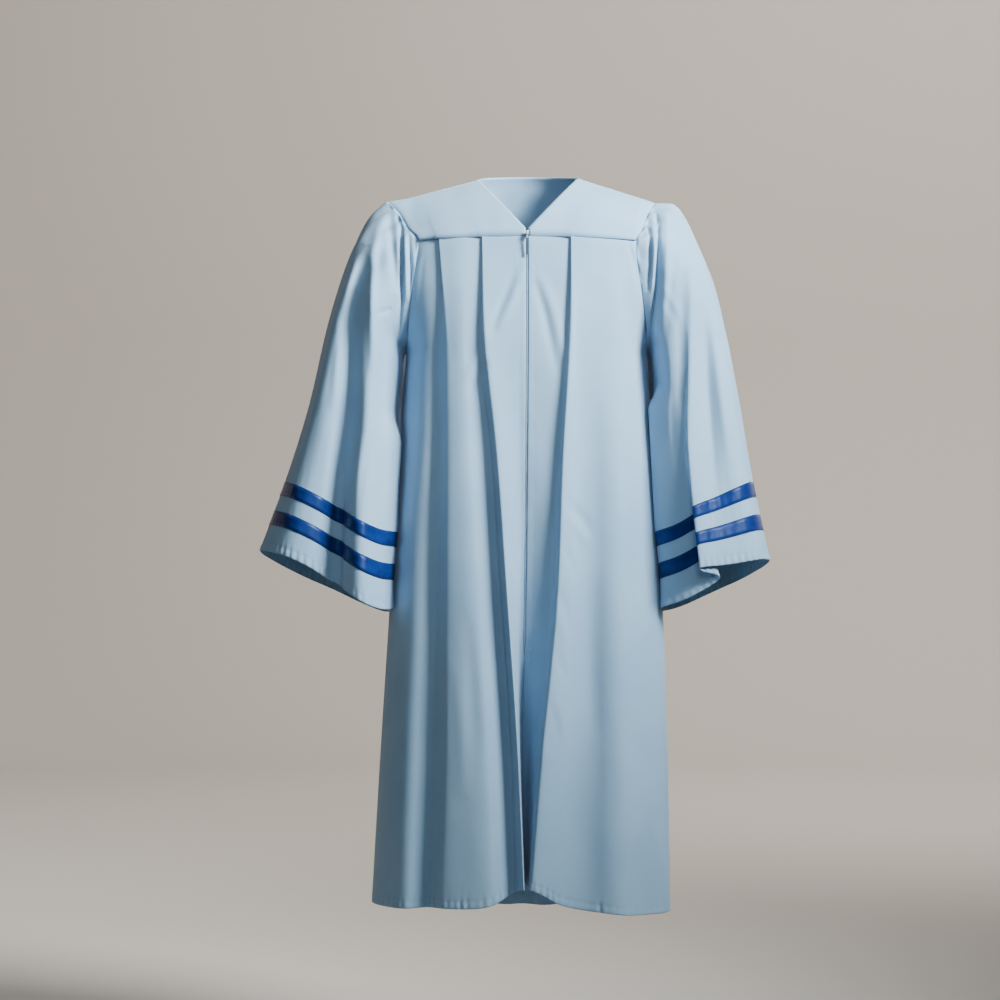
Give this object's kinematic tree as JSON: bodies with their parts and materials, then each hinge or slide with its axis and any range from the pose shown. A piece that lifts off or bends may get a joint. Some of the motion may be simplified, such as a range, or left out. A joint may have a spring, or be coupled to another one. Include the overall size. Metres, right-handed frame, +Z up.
{
  "type": "choir robe",
  "caption": "Light blue choir robe with a V neck, yoke, pleated front, centre zip and bell sleeves with royal blue satin ribbon stripes, in its worn form.",
  "frame": {"origin": "midway between the two neck-to-shoulder points, over the zip line, where the robe rests on a wearer's shoulders", "axes": "+Z up, the front faces -Y, the wearer's left is +X"},
  "size_m": [0.8325, 0.3622, 1.2176],
  "materials": {
    "robe_cloth": "matte, fine brushed face",
    "satin_ribbon": "satin",
    "zip_tape": "matte woven tape",
    "zip_coil": "moulded nylon coil",
    "slider_metal": "bright",
    "tab_metal": "dark enamel"
  },
  "bodies": {
    "robe": {"yoke_front_right": "robe_cloth", "yoke_front_left": "robe_cloth", "yoke_back": "robe_cloth", "front_right": "robe_cloth", "front_left": "robe_cloth", "back": "robe_cloth", "sleeve_right": "robe_cloth", "sleeve_left": "robe_cloth", "ribbon_right_upper": "satin_ribbon", "ribbon_right_lower": "satin_ribbon", "ribbon_left_upper": "satin_ribbon", "ribbon_left_lower": "satin_ribbon", "zip_tape_right": "zip_tape", "zip_tape_left": "zip_tape", "zip_coil": "zip_coil", "zip_slider": "slider_metal"},
    "pull_tab": {"zip_pull_tab": "tab_metal"}
  },
  "joints": [
    {"name": "pull_tab_swing", "type": "hinge", "parent": "robe", "child": "pull_tab", "pos_m": [0, -0.1288, -0.0985], "axis": [-1, 0, 0], "range_deg": [0, 165]}
  ]
}
